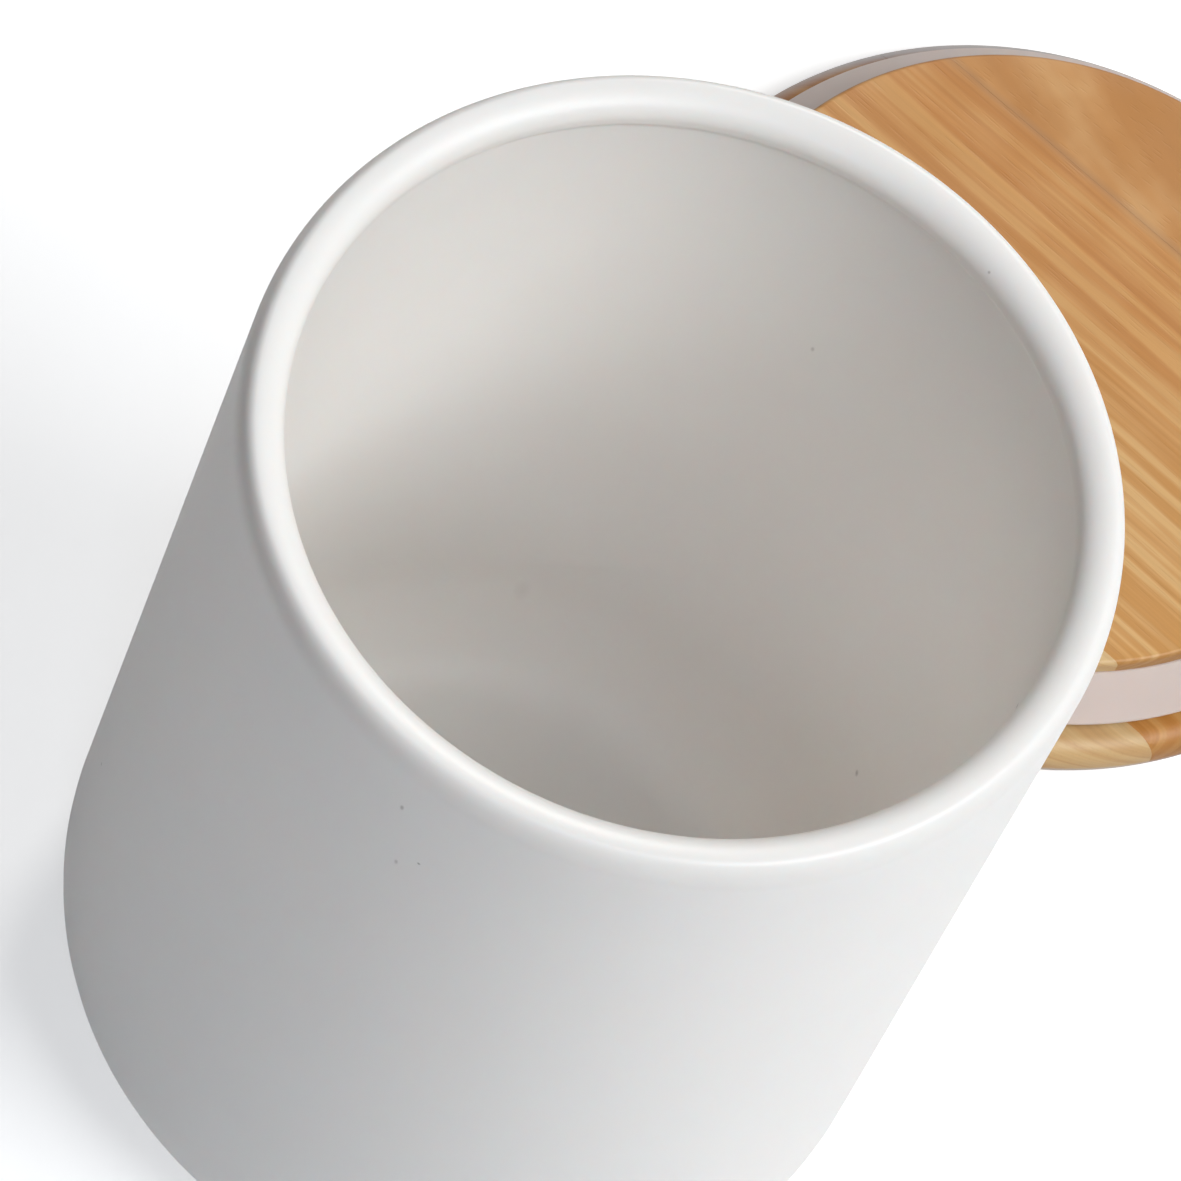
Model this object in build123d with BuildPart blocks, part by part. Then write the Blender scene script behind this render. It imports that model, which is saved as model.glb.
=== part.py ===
"""A ceramic storage canister: a rolled-rim jar and its wooden push-in lid.

Millimetres, +Z up. The jar stands on Z = 0 with its axis on Z. The lid lies
upside down on the same surface behind it, with its plug and seal facing up.
"""

import os
from math import atan2, pi, tan

from build123d import *

# Jar, outside
jar_height = 130.0
jar_top_radius = 50.0
jar_base_radius = 49.1
base_rounding = 17.0

# Jar, walls and inside
wall_thickness = 4.9
floor_thickness = 4.8
floor_corner_rounding = 8.0

# Rim: a full roll that swells a little into the mouth, with a soft crease under it
roll_outer_width = 1.8
roll_outer_height = 3.6
roll_inner_height = 2.6
throat_thickening = 0.5
throat_land = 1.0
throat_ledge_height = 0.9
throat_blend = 1.4

# Foot ring: unglazed, so that the jar doesn't fuse to the kiln shelf
foot_height = 1.2
foot_width = 3.5
foot_inset = 0.6
foot_edge_rounding = 0.4

# Lid: one turned disc, glued up from three staves that run along X
lid_overhang = 0.5
flange_thickness = 6.2
flange_edge_rounding = 2.8
plug_height = 9.4
plug_clearance = 1.8
plug_edge_rounding = 0.7
plug_shoulder = 2.1
groove_depth = 2.5
far_glue_line = 23.8
near_glue_line = -26.6
gap_on_table = 10.5

# Seal: a silicone band in the plug's groove, with one wide lip that slopes
# towards the flange like a skirt
seal_seat_gap = 0.1
band_thickness = 2.6
lip_squeeze = 2.8
lip_droop = 4.7
lip_root_thickness = 2.4
lip_tip_thickness = 0.9
lip_tip_rounding = 0.3
lip_root_blend = 0.9

# Worked out from the sizes above
floor_level = foot_height + floor_thickness
roll_start = jar_height - roll_outer_height
roll_end = jar_height - roll_inner_height
throat_bottom = roll_end - throat_land
mouth_radius = jar_top_radius - wall_thickness - throat_thickening
crown_radius = jar_top_radius - roll_outer_width
wall_lean = atan2(jar_top_radius - jar_base_radius, roll_start - foot_height)
base_rounding_run = base_rounding * tan(pi / 4 - wall_lean / 2)
foot_outer_radius = jar_base_radius - base_rounding_run - foot_inset
foot_inner_radius = foot_outer_radius - foot_width
lid_radius = jar_top_radius + lid_overhang
lid_height = flange_thickness + plug_height
plug_radius = mouth_radius - plug_clearance
groove_radius = plug_radius - groove_depth
groove_height = plug_height - plug_shoulder
lid_centre_y = jar_top_radius + gap_on_table + lid_radius


def wall_radius(z):
    """Outside radius of the tapered wall at height z."""
    share = (z - foot_height) / (roll_start - foot_height)
    return jar_base_radius + (jar_top_radius - jar_base_radius) * share


def corner(sketch, x, y):
    """The sketch's vertex that lies at (x, y)."""
    target = Vector(x, y)
    return sketch.vertices().sort_by_distance(target)[0]


# Jar: half of its section, turned about Z
ledge_bottom = throat_bottom - throat_ledge_height
ledge_radius = wall_radius(ledge_bottom) - wall_thickness
floor_corner_radius = wall_radius(floor_level) - wall_thickness

with BuildPart() as jar:
    with BuildSketch(Plane.XZ) as jar_section:
        with BuildLine():
            Polyline(
                (0, floor_level),
                (0, foot_height),
                (foot_inner_radius, foot_height),
                (foot_inner_radius, 0),
                (foot_outer_radius, 0),
                (foot_outer_radius, foot_height),
                (jar_base_radius, foot_height),
                (jar_top_radius, roll_start),
            )
            EllipticalCenterArc(
                (crown_radius, roll_start),
                roll_outer_width,
                roll_outer_height,
                start_angle=0,
                arc_size=90,
            )
            EllipticalCenterArc(
                (crown_radius, roll_end),
                crown_radius - mouth_radius,
                roll_inner_height,
                start_angle=90,
                arc_size=90,
            )
            Polyline(
                (mouth_radius, roll_end),
                (mouth_radius, throat_bottom),
                (ledge_radius, ledge_bottom),
                (floor_corner_radius, floor_level),
                (0, floor_level),
            )
        make_face()
        fillet(corner(jar_section, jar_base_radius, foot_height), base_rounding)
        fillet(corner(jar_section, floor_corner_radius, floor_level), floor_corner_rounding)
        ledge_corners = [
            corner(jar_section, mouth_radius, throat_bottom),
            corner(jar_section, ledge_radius, ledge_bottom),
        ]
        fillet(ledge_corners, throat_blend)
        foot_corners = [
            corner(jar_section, foot_inner_radius, 0),
            corner(jar_section, foot_outer_radius, 0),
        ]
        fillet(foot_corners, foot_edge_rounding)
    revolve(axis=Axis.Z)
jar.part.label = "jar"


# Lid: the whole turned disc first. Its flat top lies on the table at Z = 0
lid_plane = Plane(origin=(0, lid_centre_y, 0), x_dir=(1, 0, 0), z_dir=(0, -1, 0))
lid_axis = Axis((0, lid_centre_y, 0), (0, 0, 1))

with BuildPart() as lid_disc:
    with BuildSketch(lid_plane) as lid_section:
        with BuildLine():
            Polyline(
                (0, 0),
                (lid_radius, 0),
                (lid_radius, flange_thickness),
                (groove_radius, flange_thickness),
                (groove_radius, flange_thickness + groove_height),
                (plug_radius, flange_thickness + groove_height),
                (plug_radius, lid_height),
                (0, lid_height),
                close=True,
            )
        make_face()
    revolve(axis=lid_axis)
    rims = lid_disc.edges().filter_by(GeomType.CIRCLE)
    flange_edges = [edge for edge in rims if abs(edge.radius - lid_radius) < 0.01]
    plug_edge = rims.sort_by(Axis.Z)[-1]
    fillet(flange_edges, flange_edge_rounding)
    fillet(plug_edge, plug_edge_rounding)

# Its staves, from the glue lines: each meets the next one face to face
far_joint = Plane(origin=(0, lid_centre_y + far_glue_line, 0), z_dir=(0, 1, 0))
near_joint = Plane(origin=(0, lid_centre_y + near_glue_line, 0), z_dir=(0, 1, 0))

with BuildPart() as lid_stave_far:
    add(lid_disc.part)
    split(bisect_by=far_joint, keep=Keep.TOP)
lid_stave_far.part.label = "lid_stave_far"

with BuildPart() as lid_stave_middle:
    add(lid_disc.part)
    split(bisect_by=far_joint, keep=Keep.BOTTOM)
    split(bisect_by=near_joint, keep=Keep.TOP)
lid_stave_middle.part.label = "lid_stave_middle"

with BuildPart() as lid_stave_near:
    add(lid_disc.part)
    split(bisect_by=near_joint, keep=Keep.BOTTOM)
lid_stave_near.part.label = "lid_stave_near"


# Seal: the band fills the groove's height, and the lip starts at its upper edge
band_inner_radius = groove_radius + seal_seat_gap
band_outer_radius = band_inner_radius + band_thickness
band_top = flange_thickness + groove_height
lip_root_bottom = band_top - lip_root_thickness
lip_radius = mouth_radius + lip_squeeze
lip_tip_top = band_top - lip_droop
lip_tip_bottom = lip_tip_top - lip_tip_thickness

with BuildPart() as seal_ring:
    with BuildSketch(lid_plane) as seal_section:
        with BuildLine():
            Polyline(
                (band_inner_radius, flange_thickness),
                (band_inner_radius, band_top),
                (band_outer_radius, band_top),
                (lip_radius, lip_tip_top),
                (lip_radius, lip_tip_bottom),
                (band_outer_radius, lip_root_bottom),
                (band_outer_radius, flange_thickness),
                close=True,
            )
        make_face()
        tip_corners = [
            corner(seal_section, lip_radius, lip_tip_top),
            corner(seal_section, lip_radius, lip_tip_bottom),
        ]
        fillet(tip_corners, lip_tip_rounding)
        fillet(corner(seal_section, band_outer_radius, lip_root_bottom), lip_root_blend)
    revolve(axis=lid_axis)
seal_ring.part.label = "seal_ring"


# One STEP file for each piece
os.makedirs("parts", exist_ok=True)
for piece in (jar, lid_stave_far, lid_stave_middle, lid_stave_near, seal_ring):
    label = piece.part.label
    export_step(piece.part, f"parts/{label}.step")
    size = piece.part.bounding_box().size
    print(f"{label}: {piece.part.volume / 1000:.1f} cm3, {size.X:.1f} x {size.Y:.1f} x {size.Z:.1f} mm")
print(f"mouth radius {mouth_radius:.2f}, plug radius {plug_radius:.2f}, groove radius {groove_radius:.2f}")
print(f"throat land from {throat_bottom:.1f} to {roll_end:.1f}")
print(f"inner wall radius {ledge_radius:.2f} at the ledge, {floor_corner_radius:.2f} at the floor")
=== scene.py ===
# %% [markdown]
# # A glazed jar and its wooden lid
#
# The jar stands open, and its push-in lid lies upside down behind it. Five pieces are dressed
# here: the jar, the three staves of the lid and the silicone seal. All of them are turned forms, so
# one lathe, built from Geometry Nodes, makes every shape from a drawn section. Everything is in
# metres, with the jar's axis on Z and the lid's centre on +Y.

import math

import bmesh
import bpy
from mathutils import Matrix, Vector


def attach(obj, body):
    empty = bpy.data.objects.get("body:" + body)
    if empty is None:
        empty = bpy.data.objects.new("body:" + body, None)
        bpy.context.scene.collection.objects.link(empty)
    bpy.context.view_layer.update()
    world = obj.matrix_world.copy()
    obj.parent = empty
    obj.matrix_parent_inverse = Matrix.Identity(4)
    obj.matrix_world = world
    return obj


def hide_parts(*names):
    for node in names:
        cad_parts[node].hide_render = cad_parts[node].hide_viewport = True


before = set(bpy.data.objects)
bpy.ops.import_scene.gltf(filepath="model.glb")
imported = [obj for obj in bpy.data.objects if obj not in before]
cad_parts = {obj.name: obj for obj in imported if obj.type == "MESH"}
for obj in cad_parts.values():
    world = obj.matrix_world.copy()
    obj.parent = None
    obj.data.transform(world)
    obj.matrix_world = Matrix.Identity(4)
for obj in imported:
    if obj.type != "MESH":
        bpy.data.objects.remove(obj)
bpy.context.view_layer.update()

# %% [markdown]
# ## Sizes
#
# The sizes are in millimetres, because that is how a potter or a turner would read them off a
# drawing. They become metres only where a section is drawn. They are those of the solid model, but
# for the corner between the jar's wall and its floor, which is rounder here: a cast wall keeps its
# thickness round the base, so its inside follows its outside.

# %% Sizes of the jar
MM = 0.001

jar_height = 130.0
jar_top_radius = 50.0
jar_base_radius = 49.1
base_rounding = 17.0
foot_height = 1.2
foot_inner_radius = 28.12
foot_outer_radius = 31.62
foot_rounding = 0.4
recess_crease = 0.3
foot_crease = 0.2

rim_start = 126.4
rim_crown_radius = 48.2
rim_outer_width = 1.8
rim_outer_height = 3.6
rim_inner_height = 2.6

mouth_radius = 44.6
mouth_edge = 127.4
throat_bottom = 126.4
throat_blend = 1.4
ledge_bottom = 125.5
inner_top_radius = 45.09
inner_base_radius = 44.23
floor_level = 6.0
floor_rounding = 13.0
print(f"jar {jar_height:.0f} mm tall, mouth {2 * mouth_radius:.1f} mm across")

# %% Sizes of the lid and the seal
lid_centre = Vector((0.0, 111.0, 0.0)) * MM
flange_radius = 50.5
flange_thickness = 6.2
flange_rounding = 2.8
plug_top = 15.6
plug_radius = 42.8
plug_rounding = 0.7
groove_radius = 40.3
groove_top = 13.5
groove_rounding = 0.15
near_glue_line = -26.6
far_glue_line = 23.8

seal_inner_radius = 40.4
seal_outer_radius = 43.0
lip_radius = 47.4
lip_tip_bottom = 7.9
lip_tip_top = 8.8
lip_tip_rounding = 0.3
lip_root = 11.1
lip_root_blend = 0.9
print(f"lid {2 * flange_radius:.0f} mm across, seal's lip {2 * lip_radius:.1f} mm across")

# %% [markdown]
# ## Placing nodes
#
# Node trees are easier to read when a node, its options and its inputs stand together. The first
# helper adds one node: an input that is given a socket gets linked, any other gets that value. The
# others add the nodes that every tree needs, such as sums, and hand back their result.

# %% Helpers that place nodes
def place(tree, kind, inputs=None, **options):
    made = tree.nodes.new(kind)
    for option, value in options.items():
        setattr(made, option, value)
    for key, value in (inputs or {}).items():
        socket = made.inputs[key]
        if isinstance(value, bpy.types.NodeSocket):
            tree.links.new(value, socket)
        else:
            socket.default_value = value
    return made


def sum_up(tree, operation, first, second=0.0, third=0.0, clamp=False):
    inputs = {0: first, 1: second, 2: third}
    return place(tree, "ShaderNodeMath", inputs, operation=operation, use_clamp=clamp).outputs[0]


def whole_number(tree, operation, first, second):
    return place(tree, "FunctionNodeIntegerMath", {0: first, 1: second}, operation=operation).outputs[0]


def vector_sum(tree, operation, first, second=(0, 0, 0)):
    node = place(tree, "ShaderNodeVectorMath", {0: first}, operation=operation)
    target = node.inputs["Scale"] if operation == "SCALE" else node.inputs[1]
    if isinstance(second, bpy.types.NodeSocket):
        tree.links.new(second, target)
    elif operation != "NORMALIZE":
        target.default_value = second
    return node.outputs[0]


def length_of(tree, vector):
    return place(tree, "ShaderNodeVectorMath", {0: vector}, operation="LENGTH").outputs["Value"]


print("node helpers ready")

# %% [markdown]
# ## The lathe
#
# A jar like this is cast in a mould that was itself turned, and the lid is cut on a lathe. Both
# follow one rule: a section goes once round an axis. Screw or Spin would do it too, but a node tree
# keeps the rule live and reusable. A flat grid is wrapped round the axis: each column is one
# copy of the section, and each row takes its place from one point of it. The small inward
# wobble is the unevenness that a mould, a kiln or a hand leaves behind.

# %% The lathe's inputs
def open_lathe():
    tree = bpy.data.node_groups.new("Turned form", "GeometryNodeTree")
    for name, kind in (
        ("Section", "NodeSocketGeometry"),
        ("Steps around", "NodeSocketInt"),
        ("Axis at", "NodeSocketVector"),
        ("Wobble", "NodeSocketFloat"),
        ("Wobble size", "NodeSocketFloat"),
        ("Seed", "NodeSocketInt"),
        ("Finish", "NodeSocketMaterial"),
    ):
        tree.interface.new_socket(name, in_out="INPUT", socket_type=kind)
    tree.interface.new_socket("Form", in_out="OUTPUT", socket_type="NodeSocketGeometry")
    return tree, place(tree, "NodeGroupInput").outputs


lathe, given = open_lathe()
print("lathe inputs:", [item.name for item in lathe.interface.items_tree if item.in_out == "INPUT"])

# %% Wrap a grid round the axis
rows = place(lathe, "GeometryNodeAttributeDomainSize", {"Geometry": given["Section"]}, component="MESH")
row_count = rows.outputs["Point Count"]
columns = sum_up(lathe, "ADD", given["Steps around"], 1.0)
grid = place(lathe, "GeometryNodeMeshGrid", {"Vertices X": columns, "Vertices Y": row_count})
index = place(lathe, "GeometryNodeInputIndex").outputs[0]
row = whole_number(lathe, "MODULO", index, row_count)
column = whole_number(lathe, "DIVIDE_FLOOR", index, row_count)
here = place(lathe, "GeometryNodeInputPosition").outputs[0]
drawn = place(
    lathe, "GeometryNodeSampleIndex",
    {"Geometry": given["Section"], "Value": here, "Index": row}, data_type="FLOAT_VECTOR",
)
share = sum_up(lathe, "DIVIDE", column, given["Steps around"])
angle = sum_up(lathe, "MULTIPLY", share, 2 * math.pi)
turned = place(
    lathe, "ShaderNodeVectorRotate", {"Vector": drawn.outputs[0], "Angle": angle}, rotation_type="Z_AXIS",
).outputs[0]
print("the grid is wrapped")

# %% Add the wobble and close the form
merge_distance = 0.000002

lumps = place(
    lathe, "ShaderNodeTexNoise",
    {"Vector": turned, "W": given["Seed"], "Scale": given["Wobble size"], "Detail": 1.0},
    noise_dimensions="4D",
).outputs[0]
inward = sum_up(lathe, "MULTIPLY", sum_up(lathe, "SUBTRACT", lumps, 1.0), given["Wobble"])
outward = vector_sum(lathe, "NORMALIZE", vector_sum(lathe, "MULTIPLY", turned, (1, 1, 0)))
settled = vector_sum(lathe, "ADD", turned, vector_sum(lathe, "SCALE", outward, inward))
moved = vector_sum(lathe, "ADD", settled, given["Axis at"])
wrapped = place(lathe, "GeometryNodeSetPosition", {"Geometry": grid.outputs["Mesh"], "Position": moved})
joined = place(
    lathe, "GeometryNodeMergeByDistance", {"Geometry": wrapped.outputs[0], "Distance": merge_distance})
real = place(lathe, "GeometryNodeRealizeInstances", {"Geometry": joined.outputs[0]})
dressed = place(
    lathe, "GeometryNodeSetMaterial", {"Geometry": real.outputs[0], "Material": given["Finish"]})
place(lathe, "NodeGroupOutput", {"Form": dressed.outputs[0]})
print("the lathe has", len(lathe.nodes), "nodes")

# %% [markdown]
# ## Drawing a section
#
# A section is a chain of points at (radius, height). Corners are written with the radius that
# rounds them, as on a drawing, and the helper puts an arc there that touches both sides. Elliptical
# rolls are quarter ellipses between two points.

# %% Round the corners of a section
def rounded(corners, steps=10):
    chain = []
    last = len(corners) - 1
    for number, (x, y, radius) in enumerate(corners):
        if radius == 0 or number in (0, last):
            chain.append((x, y))
            continue
        corner = Vector((x, y))
        back = (Vector(corners[number - 1][:2]) - corner).normalized()
        ahead = (Vector(corners[number + 1][:2]) - corner).normalized()
        half = back.angle(ahead) / 2
        run = radius / math.tan(half)
        centre = corner + (back + ahead).normalized() * (radius / math.sin(half))
        start = corner + back * run - centre
        sweep = start.angle_signed(corner + ahead * run - centre)
        for step in range(steps + 1):
            arm = start.copy()
            arm.rotate(Matrix.Rotation(-sweep * step / steps, 2))
            chain.append(tuple(centre + arm))
    return chain


def quarter_ellipse(centre, width, height, start, steps=16):
    points = []
    for step in range(steps + 1):
        angle = math.radians(start + 90 * step / steps)
        points.append((centre[0] + width * math.cos(angle), centre[1] + height * math.sin(angle)))
    return points


sample = rounded([(0, 0, 0), (5, 0, 1), (5, 5, 0)], steps=2)
print("a rounded corner:", [tuple(round(value, 2) for value in point) for point in sample])

# %% [markdown]
# ## From a section to a mesh
#
# Long straight runs get points in between, so that the wobble and the light have something to
# bend. The lathe is a modifier on the section, the evaluated result becomes a plain mesh, and
# the section goes. Edges sharper than 35 degrees stay crisp, and all others are shaded smooth.

# %% Turn a section into a mesh
crisp_angle = math.radians(35)


def finer(chain, longest):
    fine = [chain[0]]
    for point in chain[1:]:
        run = math.dist(fine[-1], point)
        if run < 1e-4:
            continue
        parts = max(1, math.ceil(run / longest))
        start = fine[-1]
        for part in range(1, parts + 1):
            fine.append(tuple(a + (b - a) * part / parts for a, b in zip(start, point)))
    return fine


def smooth(mesh):
    mesh.shade_smooth()
    mesh.set_sharp_from_angle(angle=crisp_angle)


def turn(name, chain, finish, longest, centre=(0, 0, 0), steps=288, wobble=0.0, wobble_size=20.0, seed=1):
    section = bpy.data.meshes.new(f"{name}_section")
    points = [(x * MM, 0, y * MM) for x, y in finer(chain, longest)]
    section.from_pydata(points, [(i, i + 1) for i in range(len(points) - 1)], [])
    blank = bpy.data.objects.new(f"{name}_blank", section)
    bpy.context.collection.objects.link(blank)
    modifier = blank.modifiers.new("Lathe", "NODES")
    modifier.node_group = lathe
    values = {
        "Steps around": steps, "Axis at": centre, "Wobble": wobble * MM, "Wobble size": wobble_size,
        "Seed": seed, "Finish": finish,
    }
    for item in lathe.interface.items_tree:
        if item.in_out == "INPUT" and item.name in values:
            modifier[item.identifier] = values[item.name]
    seen = blank.evaluated_get(bpy.context.evaluated_depsgraph_get())
    mesh = bpy.data.meshes.new_from_object(seen)
    mesh.name = name
    smooth(mesh)
    blank.modifiers.clear()
    bpy.data.objects.remove(blank)
    print(f"{name}: {len(mesh.vertices)} points, {len(mesh.polygons)} faces")
    return mesh


def show(name, mesh):
    piece = bpy.data.objects.new(name, mesh)
    bpy.context.collection.objects.link(piece)
    return piece


print("the lathe can be used")

# %% [markdown]
# ## Shared effects
#
# Some effects belong to more than one finish. Soft mottling is in the glaze, the oiled wood and
# the silicone, and specks are in the glaze and as dust on the silicone. Each is a node group
# that puts out one mask, and each material gives it its own numbers.

# %% Helpers for groups and masks
def new_group(name, inputs, outputs):
    group = bpy.data.node_groups.new(name, "ShaderNodeTree")
    for label, kind, default in inputs:
        socket = group.interface.new_socket(label, in_out="INPUT", socket_type=kind)
        socket.default_value = default
    for label, kind in outputs:
        group.interface.new_socket(label, in_out="OUTPUT", socket_type=kind)
    return group, place(group, "NodeGroupInput").outputs


def grade(tree, value, start, end, low=0.0, high=1.0):
    inputs = {"Value": value, "From Min": start, "From Max": end, "To Min": low, "To Max": high}
    return place(tree, "ShaderNodeMapRange", inputs).outputs[0]


print("group helpers ready")

# %% Groups for mottling and specks
def build_mottle():
    group, given = new_group(
        "Soft mottle",
        [("Place", "NodeSocketVector", (0, 0, 0)), ("Patches per metre", "NodeSocketFloat", 40.0),
         ("Detail", "NodeSocketFloat", 3.0), ("Contrast", "NodeSocketFloat", 1.0)],
        [("Mask", "NodeSocketFloat")],
    )
    cloud = place(
        group, "ShaderNodeTexNoise",
        {"Vector": given["Place"], "Scale": given["Patches per metre"], "Detail": given["Detail"]},
    ).outputs[0]
    centred = sum_up(group, "SUBTRACT", cloud, 0.5)
    mask = sum_up(group, "MULTIPLY_ADD", centred, given["Contrast"], 0.5, clamp=True)
    place(group, "NodeGroupOutput", {"Mask": mask})
    return group


def build_specks():
    group, given = new_group(
        "Scattered specks",
        [("Place", "NodeSocketVector", (0, 0, 0)), ("Spots per metre", "NodeSocketFloat", 250.0),
         ("Share kept", "NodeSocketFloat", 0.03), ("Radius", "NodeSocketFloat", 0.06)],
        [("Mask", "NodeSocketFloat")],
    )
    cells = place(
        group, "ShaderNodeTexVoronoi",
        {"Vector": given["Place"], "Scale": given["Spots per metre"]}, feature="F1",
    )
    lot = place(group, "ShaderNodeSeparateColor", {0: cells.outputs["Color"]}).outputs[0]
    kept = sum_up(group, "LESS_THAN", lot, given["Share kept"])
    size = sum_up(group, "MULTIPLY", given["Radius"], sum_up(group, "ADD", 0.4, lot))
    full = sum_up(group, "MULTIPLY", size, 0.4)
    near = grade(group, cells.outputs["Distance"], given["Radius"], full)
    place(group, "NodeGroupOutput", {"Mask": sum_up(group, "MULTIPLY", kept, near, clamp=True)})
    return group


mottle = build_mottle()
specks = build_specks()
print("groups:", mottle.name, "and", specks.name)

# %% [markdown]
# ## Wood grain
#
# A tree lays down rings round its pith, and a stave is a straight cut through them. So the pattern
# comes from the distance to a pith line that runs nearly along the stave: close to it and tilted,
# the rings show as arches, and far from it as straight stripes. Noise that is stretched along the
# grain adds the uneven streaks and the fibres, and short stretched cells are the pores. The group
# puts out masks, and each stave's material gives it its own pith, so no two staves match.

# %% Open the grain group
grain, given = new_group(
    "Wood grain",
    [("Place", "NodeSocketVector", (0, 0, 0)), ("Pith at", "NodeSocketVector", (0, 0, 0)),
     ("Pith tilt", "NodeSocketVector", (0, 0, 0)), ("Rings per metre", "NodeSocketFloat", 300.0),
     ("Waviness", "NodeSocketFloat", 0.002), ("Seed", "NodeSocketFloat", 0.0)],
    [("Streaks", "NodeSocketFloat"), ("Fibres", "NodeSocketFloat"), ("Pores", "NodeSocketFloat"),
     ("Pith distance", "NodeSocketFloat")],
)
print("grain takes", [item.name for item in grain.interface.items_tree if item.in_out == "INPUT"])

# %% Bend the trunk and count its rings
drift_per_metre = (9, 30, 30)

lean = place(
    grain, "ShaderNodeVectorRotate", {"Vector": given["Place"], "Rotation": given["Pith tilt"]},
    rotation_type="EULER_XYZ",
).outputs[0]
slow = place(
    grain, "ShaderNodeTexNoise",
    {"Vector": vector_sum(grain, "MULTIPLY", lean, drift_per_metre), "W": given["Seed"],
     "Scale": 1.0, "Detail": 1.5},
    noise_dimensions="4D",
).outputs[1]
centred = vector_sum(grain, "SUBTRACT", slow, (0.5, 0.5, 0.5))
bent = vector_sum(grain, "ADD", lean, vector_sum(grain, "SCALE", centred, given["Waviness"]))
from_pith = vector_sum(grain, "SUBTRACT", bent, given["Pith at"])
pith_distance = length_of(grain, vector_sum(grain, "MULTIPLY", from_pith, (0, 1, 1)))
ring = sum_up(grain, "MULTIPLY", pith_distance, given["Rings per metre"])
along = place(grain, "ShaderNodeSeparateXYZ", {0: bent}).outputs[0]
print("rings counted")

# %% Streaks, fibres and pores
streaks_per_metre = 12.0
fibres_per_metre = 45.0
fibres_per_ring = 3.5
pores_per_metre = (160, 2200, 2200)


def stretched_noise(lengthwise, across, **settings):
    run = sum_up(grain, "MULTIPLY", along, lengthwise)
    spot = place(grain, "ShaderNodeCombineXYZ", {0: run, 1: across, 2: given["Seed"]}).outputs[0]
    inputs = {"Vector": spot, "Scale": 1.0, "Detail": 2.0, **settings}
    return place(grain, "ShaderNodeTexNoise", inputs).outputs[0]


streaks = stretched_noise(streaks_per_metre, ring, Roughness=0.42)
fibres = stretched_noise(fibres_per_metre, sum_up(grain, "MULTIPLY", ring, fibres_per_ring))
cells = place(
    grain, "ShaderNodeTexVoronoi",
    {"Vector": vector_sum(grain, "MULTIPLY", bent, pores_per_metre), "Scale": 1.0}, feature="F1",
).outputs["Distance"]
pores = grade(grain, cells, 0.32, 0.12)
place(
    grain, "NodeGroupOutput",
    {"Streaks": streaks, "Fibres": fibres, "Pores": pores, "Pith distance": pith_distance},
)
print("grain puts out", [item.name for item in grain.interface.items_tree if item.in_out == "OUTPUT"])

# %% [markdown]
# ## Starting a material
#
# Every finish here is one Principled surface that reads Object coordinates, which are metres on
# the real piece. The helpers start a material, use the groups in it, blend two colours by a mask,
# wire up the surface and let light soak in.

# %% Helpers for materials
def new_material(name):
    material = bpy.data.materials.new(name)
    material.use_nodes = True
    tree = material.node_tree
    tree.nodes.clear()
    surface = place(tree, "ShaderNodeBsdfPrincipled")
    place(tree, "ShaderNodeOutputMaterial", {"Surface": surface.outputs[0]})
    place_at = place(tree, "ShaderNodeTexCoord").outputs["Object"]
    return material, tree, surface, place_at


def use(tree, group, inputs):
    node = place(tree, "ShaderNodeGroup", node_tree=group)
    for key, value in inputs.items():
        if isinstance(value, bpy.types.NodeSocket):
            tree.links.new(value, node.inputs[key])
        else:
            node.inputs[key].default_value = value
    return node.outputs


def use_mottle(tree, at, patches, detail, contrast):
    inputs = {"Place": at, "Patches per metre": patches, "Detail": detail, "Contrast": contrast}
    return use(tree, mottle, inputs)["Mask"]


def use_specks(tree, at, spots, kept, radius):
    inputs = {"Place": at, "Spots per metre": spots, "Share kept": kept, "Radius": radius}
    return use(tree, specks, inputs)["Mask"]


def blend_colours(tree, share, first, second):
    node = place(tree, "ShaderNodeMix", data_type="RGBA")
    for key, value in (("Factor_Float", share), ("A_Color", first), ("B_Color", second)):
        socket = next(s for s in node.inputs if s.identifier == key)
        if isinstance(value, bpy.types.NodeSocket):
            tree.links.new(value, socket)
        else:
            socket.default_value = value
    return next(s for s in node.outputs if s.identifier == "Result_Color")


def finish_surface(tree, surface, colour, roughness, height, strength, distance):
    bump = place(tree, "ShaderNodeBump", {"Height": height, "Strength": strength, "Distance": distance})
    tree.links.new(colour, surface.inputs["Base Color"])
    tree.links.new(roughness, surface.inputs["Roughness"])
    tree.links.new(bump.outputs[0], surface.inputs["Normal"])


def let_light_in(surface, ior, weight, radius, scale):
    surface.inputs["IOR"].default_value = ior
    surface.inputs["Subsurface Weight"].default_value = weight
    surface.inputs["Subsurface Radius"].default_value = radius
    surface.inputs["Subsurface Scale"].default_value = scale


print("material helpers ready")

# %% [markdown]
# ## The glaze
#
# A satin white glaze is a thin glass full of tiny crystals over a white body. Some light soaks in
# and comes out a few millimetres away, which softens every shadow's edge, so the material has
# subsurface scattering. It shines softly and is never quite even: it mottles a little. A painted
# shade darkens the crest of the rim, where the light falls strongest, and a painted warm glow
# tints the inside of the jar. It carries iron specks from the clay, most of them scattered and a
# few listed as a mark's place, size and strength. The foot is wiped before firing, so the bare
# buff stoneware shows there.

# %% Colours and marks of the glaze
glaze_colours = ((0.921, 0.895, 0.873, 1), (0.941, 0.917, 0.896, 1))
clay_colours = ((0.52, 0.44, 0.34, 1), (0.66, 0.58, 0.47, 1))
iron_colour = (0.16, 0.13, 0.10, 1)
iron_cover = 0.7
# Painted warm glow inside the jar, for light that comes through the lit wall.
painted_inner_glow = (1.01, 1.003, 0.99)
inside_edge = (0.0456, 0.0450)
# Painted shade: the rim's crest is darkened where the light falls strongest.
painted_crest_shade = (0.93, 0.93, 0.92)
crest_edge = (0.1255, 0.1285)
wiped_edge = (0.0010, 0.0007)
satin_roughness = (0.36, 0.44)
clay_roughness = 0.9

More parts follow.
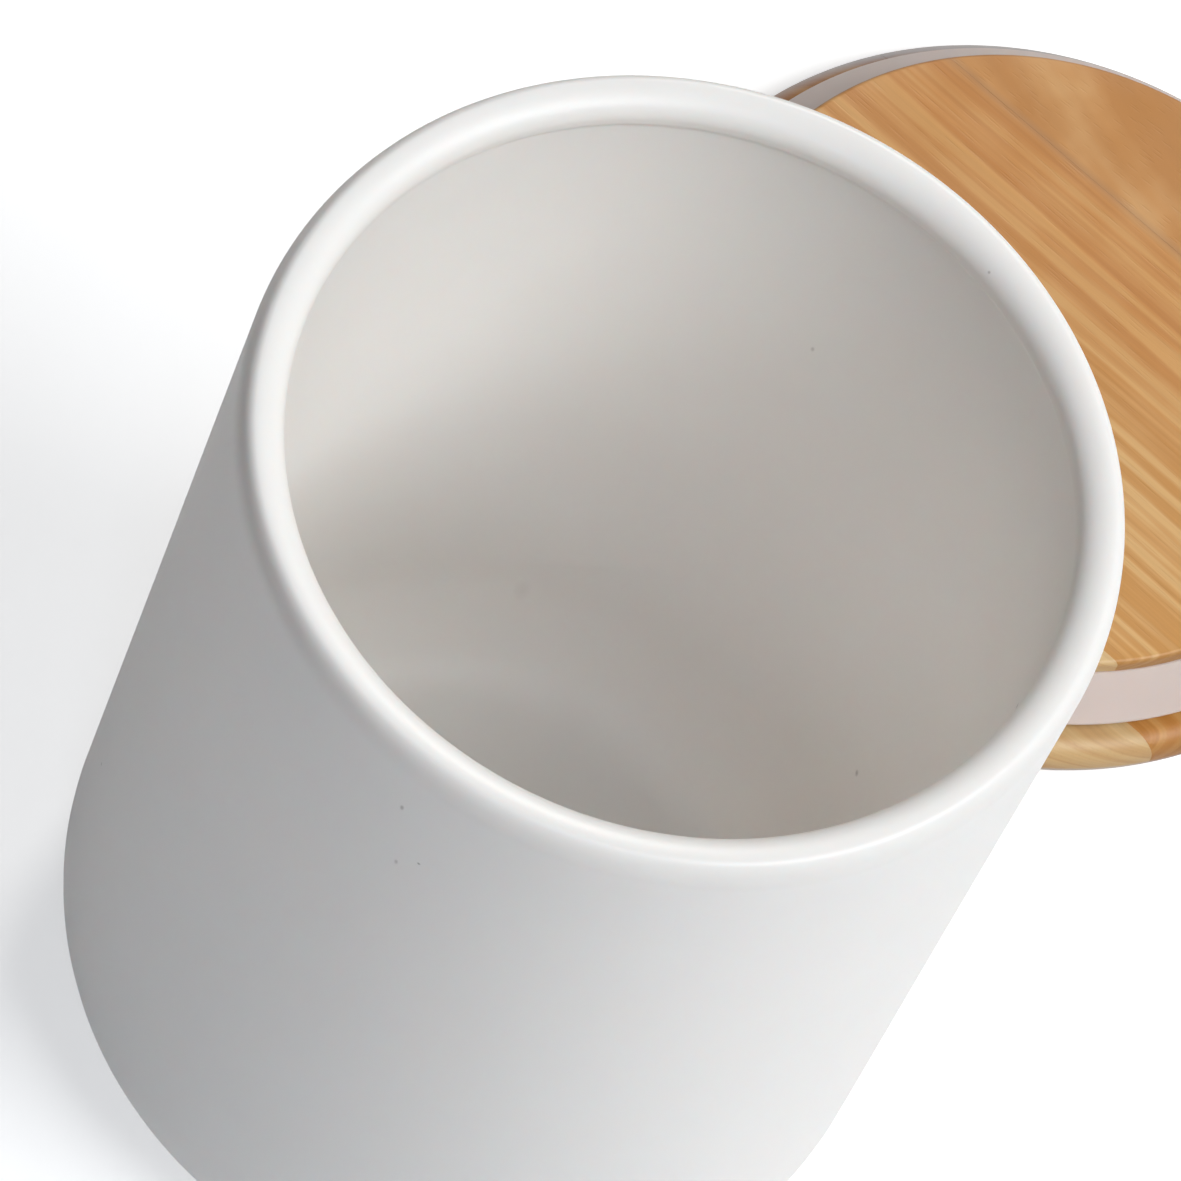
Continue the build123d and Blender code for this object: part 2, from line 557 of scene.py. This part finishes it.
glaze_marks = [
    (Vector((-24.0, 37.2, 16.5)) * MM, 1.2 * MM, 0.09),
    (Vector((-23.1, 37.7, 7.5)) * MM, 0.9 * MM, 0.13),
    (Vector((23.3, 37.8, 35.3)) * MM, 0.4 * MM, 0.6),
    (Vector((-6.7, 44.3, 91.5)) * MM, 0.3 * MM, 0.4),
    (Vector((41.1, 18.1, 105.6)) * MM, 0.4 * MM, 0.6),
    (Vector((3.5, -49.8, 119.6)) * MM, 0.3 * MM, 0.6),
    (Vector((5.4, -49.6, 108.7)) * MM, 0.3 * MM, 0.45),
]
print(len(glaze_marks), "marks set by hand")

# %% Glaze material
def iron_mask(tree, at):
    mask = use_specks(tree, at, spots=260.0, kept=0.02, radius=0.07)
    for spot, size, strength in glaze_marks:
        reach = vector_sum(tree, "MULTIPLY", vector_sum(tree, "SUBTRACT", at, spot), (1, 1, 0.5))
        mark = grade(tree, length_of(tree, reach), size, 0.3 * size, 0.0, strength)
        mask = sum_up(tree, "MAXIMUM", mask, mark)
    return sum_up(tree, "MULTIPLY", mask, iron_cover)


def build_glaze():
    material, tree, surface, at = new_material("satin_white_glaze")
    clouds = use_mottle(tree, at, patches=60.0, detail=3.0, contrast=1.4)
    white = blend_colours(tree, clouds, *glaze_colours)
    specked = blend_colours(tree, iron_mask(tree, at), white, iron_colour)
    from_axis = length_of(tree, vector_sum(tree, "MULTIPLY", at, (1, 1, 0)))
    # Painted warm glow on the inside of the jar.
    within = grade(tree, from_axis, *inside_edge)
    glow_painted = blend_colours(tree, within, specked, vector_sum(tree, "MULTIPLY", specked, painted_inner_glow))
    high = place(tree, "ShaderNodeSeparateXYZ", {0: at}).outputs[2]
    # Painted shade over the rim's crest.
    crest = grade(tree, high, *crest_edge)
    crest_shade_painted = blend_colours(tree, crest, glow_painted, vector_sum(tree, "MULTIPLY", glow_painted, painted_crest_shade))
    bare = grade(tree, high, *wiped_edge)
    grit = use_mottle(tree, at, patches=900.0, detail=4.0, contrast=2.0)
    colour = blend_colours(tree, bare, crest_shade_painted, blend_colours(tree, grit, *clay_colours))
    satin = grade(tree, clouds, 0.0, 1.0, *satin_roughness)
    roughness = place(tree, "ShaderNodeMix", {0: bare, 2: satin, 3: clay_roughness}).outputs[0]
    peel = use_mottle(tree, at, patches=350.0, detail=2.0, contrast=1.0)
    height = sum_up(tree, "MULTIPLY_ADD", sum_up(tree, "MULTIPLY", grit, bare), 2.0, peel)
    finish_surface(tree, surface, colour, roughness, height, strength=0.12, distance=0.0002)
    let_light_in(surface, ior=1.48, weight=0.45, radius=(1.0, 0.75, 0.65), scale=0.005)
    return material


glaze = build_glaze()
print("made", glaze.name)

# %% [markdown]
# ## The oiled wood
#
# All three staves are one pale timber, oiled and not varnished: golden with reddish-brown streaks,
# and a soft, low sheen. The outer, younger wood of the trunk is paler than its heart. End
# grain drinks more oil and turns darker, so its mask comes from how far a face points along the
# grain. The glue between two staves is a thin dark line. Where the far rim and the underside
# of the flange are seen edge on, Layer Weight finds those angles and grey is painted in: a painted
# reflection of the white room on the far rim, and painted shade along the underside's edge.
# One function builds the finish, and each stave calls it with its own pith, colours and seed.

# %% Colours that the staves share
streak_stops = (0.42, 0.50, 0.60)
fibre_shades = (0.95, 1.04)
younger_wood = (1.11, 1.33, 1.85)
plug_edge = (0.006, 0.010)
pore_colour = (0.20, 0.10, 0.04, 1)
pore_cover = 0.06
end_colour = (0.30, 0.13, 0.03, 1)
end_facing = (0.35, 0.85)
glue_colour = (0.27, 0.145, 0.07, 1)
glue_cover = 0.4
glue_reach = 0.0011
glue_at = lid_centre.y + far_glue_line * MM
# Painted grey where the wood is seen edge on: a painted reflection on the far rim and painted shade along
# the flange's underside.
painted_glance_grey = (0.50, 0.49, 0.51, 1)
painted_glance_cover = 0.85
far_rim_glance = (0.2, 0.4)
far_rim_turn = (0.0, 0.3)
far_rim_top = (0.0072, 0.0062)
underside_glance = (0.35, 0.65)
underside_top = (0.0029, 0.0019)
oil_sheen = (0.42, 0.55)
print(f"the far glue line is at y = {glue_at:.4f} m")

# %% Masks and streaks of the wood
def streak_colour(tree, cut, patches, blotch, colours):
    shade = sum_up(tree, "MULTIPLY_ADD", sum_up(tree, "SUBTRACT", patches, 0.5), blotch, cut["Streaks"])
    ramp = place(tree, "ShaderNodeValToRGB", {0: shade})
    stops = ramp.color_ramp.elements
    stops.new(streak_stops[1])
    for stop, position, colour in zip(stops, streak_stops, colours):
        stop.position = position
        stop.color = colour
    fine = grade(tree, cut["Fibres"], 0.3, 0.7, *fibre_shades)
    return vector_sum(tree, "SCALE", ramp.outputs[0], fine)


def young_mask(tree, cut, high, sapwood, young_flange):
    young = grade(tree, cut["Pith distance"], *sapwood)
    upper = grade(tree, high, *plug_edge, young_flange, 1.0)
    return sum_up(tree, "MULTIPLY", young, upper)


def glue_mask(tree, across):
    off = sum_up(tree, "ABSOLUTE", sum_up(tree, "SUBTRACT", across, glue_at))
    return grade(tree, off, glue_reach, 0.0, 0.0, glue_cover)


def painted_glance_mask(tree, away, high):
    # Painted reflection on the far rim and painted shade along the underside's edge, both found by glancing
    # angle.
    edge_on = place(tree, "ShaderNodeLayerWeight", {"Blend": 0.5}).outputs["Facing"]
    rim_edge = grade(tree, edge_on, *far_rim_glance, 0.0, painted_glance_cover)
    far_side = sum_up(tree, "MULTIPLY", rim_edge, grade(tree, away, *far_rim_turn))
    far_rim = sum_up(tree, "MULTIPLY", far_side, grade(tree, high, *far_rim_top))
    low_edge = grade(tree, edge_on, *underside_glance, 0.0, painted_glance_cover)
    below = sum_up(tree, "MULTIPLY", low_edge, grade(tree, high, *underside_top))
    return sum_up(tree, "MAXIMUM", far_rim, below)


print("wood masks ready")

# %% Wood material
def build_wood(name, colours, sapwood, young_flange, blotch, end_grain, pith, tilt, rings, waviness, seed):
    material, tree, surface, at = new_material(name)
    cut = use(tree, grain, {
        "Place": at, "Pith at": pith, "Pith tilt": tilt, "Rings per metre": rings,
        "Waviness": waviness, "Seed": seed,
    })
    across, high = place(tree, "ShaderNodeSeparateXYZ", {0: at}).outputs[1:3]
    facing = place(tree, "ShaderNodeTexCoord").outputs["Normal"]
    along, away = place(tree, "ShaderNodeSeparateXYZ", {0: facing}).outputs[0:2]
    patches = use_mottle(tree, at, patches=110.0, detail=2.0, contrast=1.5)
    streaked = streak_colour(tree, cut, patches, blotch, colours)
    young = young_mask(tree, cut, high, sapwood, young_flange)
    aged = blend_colours(tree, young, streaked, vector_sum(tree, "MULTIPLY", streaked, younger_wood))
    dotted = blend_colours(tree, sum_up(tree, "MULTIPLY", cut["Pores"], pore_cover), aged, pore_colour)
    end = grade(tree, sum_up(tree, "ABSOLUTE", along), *end_facing, 0.0, end_grain)
    oiled = blend_colours(tree, end, dotted, end_colour)
    glued = blend_colours(tree, glue_mask(tree, across), oiled, glue_colour)
    # Painted reflection and painted shade at glancing angles.
    glance_painted = blend_colours(tree, painted_glance_mask(tree, away, high), glued, painted_glance_grey)
    sheen = grade(tree, patches, 0.0, 1.0, *oil_sheen)
    height = sum_up(tree, "SUBTRACT", cut["Fibres"], cut["Pores"])
    finish_surface(tree, surface, glance_painted, sheen, height, strength=0.15, distance=0.0001)
    print("made", material.name)
    return material


# %% The three staves' wood
straight = (0.0, 0.0, math.radians(1.0))
leaning = (0.0, math.radians(8), math.radians(-3))

wood_near = build_wood(
    "wood_stave_near",
    colours=((0.56, 0.317, 0.108, 1), (0.533, 0.286, 0.092, 1), (0.50, 0.255, 0.079, 1)),
    sapwood=(0.12, 0.14), young_flange=1.0, blotch=0.1, end_grain=0.15,
    pith=(0, 0.02, -0.12), tilt=straight, rings=1300.0, waviness=0.002, seed=3.0)
wood_middle = build_wood(
    "wood_stave_middle",
    colours=((0.55, 0.268, 0.071, 1), (0.50, 0.217, 0.047, 1), (0.445, 0.175, 0.028, 1)),
    sapwood=(0.178, 0.1855), young_flange=0.0, blotch=0.1, end_grain=0.58,
    pith=(0, 0.19, -0.15), tilt=straight, rings=1300.0, waviness=0.002, seed=11.0)
wood_far = build_wood(
    "wood_stave_far",
    colours=((0.55, 0.28, 0.088, 1), (0.49, 0.22, 0.052, 1), (0.43, 0.178, 0.032, 1)),
    sapwood=(0.5, 0.6), young_flange=1.0, blotch=0.27, end_grain=0.3,
    pith=(0, 0.16, -0.03), tilt=leaning, rings=300.0, waviness=0.008, seed=23.0)

# %% [markdown]
# ## The silicone
#
# Food-grade silicone is milky: light goes in, scatters and comes out again. Subsurface scattering
# with a short reach does that. The pinkish-brown tint of the wood in the groove behind it is painted
# into the milky colour. The skin is satin and holds a little dust.

# %% Silicone material
# The milky colour carries a painted pinkish-brown tint of the wood behind the silicone.
milk_with_painted_wood_tint = ((0.62, 0.516, 0.466, 1), (0.68, 0.574, 0.526, 1))
dust_colour = (0.8, 0.78, 0.75, 1)
dust_cover = 0.35
skin_roughness = (0.38, 0.5)


def build_silicone():
    material, tree, surface, at = new_material("milky_silicone")
    haze = use_mottle(tree, at, patches=70.0, detail=2.0, contrast=1.6)
    # Milky colour with the painted tint of the wood behind.
    tinted_milk = blend_colours(tree, haze, *milk_with_painted_wood_tint)
    grains = use_specks(tree, at, spots=700.0, kept=0.08, radius=0.12)
    dust = sum_up(tree, "MULTIPLY", grains, dust_cover)
    colour = blend_colours(tree, dust, tinted_milk, dust_colour)
    skin = grade(tree, haze, 0.0, 1.0, *skin_roughness)
    finish_surface(tree, surface, colour, skin, haze, strength=0.1, distance=0.0003)
    let_light_in(surface, ior=1.41, weight=0.6, radius=(1.0, 0.7, 0.55), scale=0.002)
    return material


silicone = build_silicone()
print("made", silicone.name)

# %% [markdown]
# ## The jar
#
# The section starts under the base, goes out over the foot ring, up the slightly flaring wall and
# over the rolled rim, whose outer and inner halves are two different quarter ellipses. On the
# inside, a short throat stands a little proud of the wall. A soft ledge leads from it to the wall,
# and a wide rounded corner leads from the wall into the floor.

# %% Draw and turn the jar
jar_section = rounded([
    (0, foot_height, 0),
    (foot_inner_radius, foot_height, recess_crease),
    (foot_inner_radius, 0, foot_rounding),
    (foot_outer_radius, 0, foot_rounding),
    (foot_outer_radius, foot_height, foot_crease),
    (jar_base_radius, foot_height, base_rounding),
    (jar_top_radius, rim_start, 0),
], steps=14)
jar_section += quarter_ellipse((rim_crown_radius, rim_start), rim_outer_width, rim_outer_height, 0)
jar_section += quarter_ellipse(
    (rim_crown_radius, mouth_edge), rim_crown_radius - mouth_radius, rim_inner_height, 90)
jar_section += rounded([
    (mouth_radius, mouth_edge, 0),
    (mouth_radius, throat_bottom, throat_blend),
    (inner_top_radius, ledge_bottom, throat_blend),
    (inner_base_radius, floor_level, floor_rounding),
    (0, floor_level, 0),
], steps=14)
jar_mesh = turn("stoneware_jar", jar_section, glaze, longest=3.0, wobble=0.06, wobble_size=18.0, seed=4)
jar = show("stoneware_jar", jar_mesh)
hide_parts("jar")
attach(jar, "jar")

# %% [markdown]
# ## The lid
#
# The lid is glued up from three staves and then turned as one disc, so all three share one section.
# The blank is turned first and then sliced at the two glue lines. Each slice is closed
# again, and the cut edges get a hair's breadth of bevel, which catches the light as a real joint does.

# %% Turn the blank
lid_section = rounded([
    (0, 0, 0),
    (flange_radius, 0, flange_rounding),
    (flange_radius, flange_thickness, flange_rounding),
    (groove_radius, flange_thickness, 0),
    (groove_radius, groove_top, 0),
    (plug_radius, groove_top, groove_rounding),
    (plug_radius, plug_top, plug_rounding),
    (0, plug_top, 0),
], steps=10)
lid_blank = turn("lid_blank", lid_section, wood_middle, longest=2.5, centre=lid_centre)

# %% Slice the staves
joint_bevel = 0.00008


def slice_stave(name, finish, low, high):
    shape = bmesh.new()
    shape.from_mesh(lid_blank)
    for edge, away in ((low, -1), (high, 1)):
        if edge is None:
            continue
        spot = lid_centre + Vector((0, edge * MM, 0))
        everything = shape.verts[:] + shape.edges[:] + shape.faces[:]
        cut = bmesh.ops.bisect_plane(
            shape, geom=everything, dist=1e-7, plane_co=spot, plane_no=(0, away, 0), clear_outer=True)
        rim = [item for item in cut["geom_cut"] if isinstance(item, bmesh.types.BMEdge)]
        bmesh.ops.contextual_create(shape, geom=rim)
        bmesh.ops.bevel(shape, geom=rim, offset=joint_bevel, segments=1, affect="EDGES", clamp_overlap=True)
    bmesh.ops.recalc_face_normals(shape, faces=shape.faces[:])
    mesh = bpy.data.meshes.new(name)
    shape.to_mesh(mesh)
    shape.free()
    mesh.materials.clear()
    mesh.materials.append(finish)
    smooth(mesh)
    print(f"{name}: {len(mesh.vertices)} points")
    return show(name, mesh)


# %% Give each stave its node
for node, finish, low, high, slot in (
    ("lid_stave_near", wood_near, None, near_glue_line, "wood_light"),
    ("lid_stave_middle", wood_middle, near_glue_line, far_glue_line, "wood_light"),
    ("lid_stave_far", wood_far, far_glue_line, None, "wood_dark"),
):
    stave = slice_stave(node.replace("lid_", "oiled_"), finish, low, high)
    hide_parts(node)
    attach(stave, "lid")

# %% [markdown]
# ## The seal
#
# One moulded ring sits in the plug's groove. Its single wide lip slopes back towards the flange
# like a skirt, so that it slides in easily and grips on the way out.

# %% Turn the seal
seal_section = rounded([
    (seal_inner_radius, flange_thickness, 0),
    (seal_outer_radius, flange_thickness, 0),
    (seal_outer_radius, lip_root, lip_root_blend),
    (lip_radius, lip_tip_bottom, lip_tip_rounding),
    (lip_radius, lip_tip_top, lip_tip_rounding),
    (seal_outer_radius, groove_top, 0),
    (seal_inner_radius, groove_top, 0),
    (seal_inner_radius, flange_thickness, 0),
], steps=6)
seal = show("silicone_seal", turn("silicone_seal", seal_section, silicone, longest=1.5, centre=lid_centre))
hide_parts("seal_ring")
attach(seal, "lid")

# %% [markdown]
# ## The floor
#
# The set is a plain white sheet. It takes the shadow, and for the camera and in reflections it glows
# a little, which lifts it to white where nothing shades it. The glow doesn't light the pieces in any
# other way.

# %% Floor
floor_reach = 4.0
floor_drop = -0.0002
floor_colour = (0.80, 0.80, 0.80, 1)
floor_glow = 0.52
mirrored_share = 0.25


def build_floor():
    mesh = bpy.data.meshes.new("floor")
    signs = ((-1, -1), (1, -1), (1, 1), (-1, 1))
    corners = [(x * floor_reach, y * floor_reach, floor_drop) for x, y in signs]
    mesh.from_pydata(corners, [], [(0, 1, 2, 3)])
    material = bpy.data.materials.new("white_sheet")
    material.use_nodes = True
    tree = material.node_tree
    tree.nodes.clear()
    paper = place(tree, "ShaderNodeBsdfDiffuse", {"Color": floor_colour})
    path = place(tree, "ShaderNodeLightPath").outputs
    seen = sum_up(tree, "MAXIMUM", path["Is Camera Ray"], path["Is Transmission Ray"])
    mirrored = sum_up(tree, "MULTIPLY", path["Is Glossy Ray"], mirrored_share)
    glow = sum_up(tree, "MULTIPLY", sum_up(tree, "MAXIMUM", seen, mirrored), floor_glow)
    lift = place(tree, "ShaderNodeEmission", {"Strength": glow})
    both = place(tree, "ShaderNodeAddShader", {0: paper.outputs[0], 1: lift.outputs[0]})
    place(tree, "ShaderNodeOutputMaterial", {"Surface": both.outputs[0]})
    mesh.materials.append(material)
    return show("floor", mesh)


floor = build_floor()
print("floor made")

# %% [markdown]
# ## The light
#
# It is daylight in a pale room: one large window on the right, a smaller one behind the
# pieces, and a pale wall in front that sends back a little cool light. Each is a soft rectangle,
# placed by how far it lies to the right, away from the viewer and up, and aimed at the jar. The room
# itself is white where it is seen or mirrored, and adds no light.

# %% Windows
view_turn = Matrix.Rotation(math.radians(18.04), 4, "Z")
lit_spot = Vector((0, 0.04, 0.06))


def add_window(name, place_from_viewer, width, height, power, colour):
    light = bpy.data.lights.new(name, "AREA")
    light.shape = "RECTANGLE"
    light.size = width
    light.size_y = height
    light.energy = power
    light.color = colour
    lamp = bpy.data.objects.new(name, light)
    lamp.location = view_turn @ Vector(place_from_viewer)
    lamp.rotation_euler = (lit_spot - lamp.location).to_track_quat("-Z", "Y").to_euler()
    bpy.context.collection.objects.link(lamp)
    print(f"{name}: {lamp.location.length:.2f} m away, {power:.0f} W")


add_window("window_right", (1.12, -0.295, 1.58), 1.25, 0.95, 31.5, (0.985, 1.0, 1.01))
add_window("window_behind", (0.0, 1.58, 1.23), 0.5, 0.5, 12.9, (1.02, 1.0, 0.97))
add_window("wall_in_front", (0.0, -1.12, 1.66), 0.5, 0.5, 4.5, (0.88, 1.0, 1.2))

# %% The room
world = bpy.data.worlds.new("bright_room")
bpy.context.scene.world = world
world.use_nodes = True
room = world.node_tree
room.nodes.clear()
path = place(room, "ShaderNodeLightPath").outputs
seen = sum_up(room, "MAXIMUM", path["Is Camera Ray"], path["Is Transmission Ray"])
seen = sum_up(room, "MAXIMUM", seen, path["Is Glossy Ray"])
sky = place(room, "ShaderNodeBackground", {"Color": (1.0, 1.0, 1.0, 1), "Strength": seen})
place(room, "ShaderNodeOutputWorld", {"Surface": sky.outputs[0]})
print("room made")

# %% [markdown]
# ## The camera
#
# The picture was taken from above with a long lens, about 60 degrees down, and the camera was
# tilted, so that the jar leans in the frame. The aim point lies in the plane of the rim.

# %% Camera
camera_tilt = math.radians(25.39)
aim_point = Vector((0.002585, -0.020083, 0.130))

camera_data = bpy.data.cameras.new("camera")
camera_data.sensor_width = 36.0
camera_data.lens = 334.77
camera_data.clip_end = 20.0
camera = bpy.data.objects.new("camera", camera_data)
camera.location = (0.18908, -0.59269, 1.15629)
looking = (aim_point - camera.location).to_track_quat("-Z", "Y").to_matrix().to_4x4()
camera.rotation_euler = (looking @ Matrix.Rotation(camera_tilt, 4, "Z")).to_euler()
bpy.context.collection.objects.link(camera)
bpy.context.scene.camera = camera
bpy.context.scene.view_settings.view_transform = "Standard"
print("camera", tuple(round(value, 3) for value in camera.location), f"{camera_data.lens:.0f} mm")
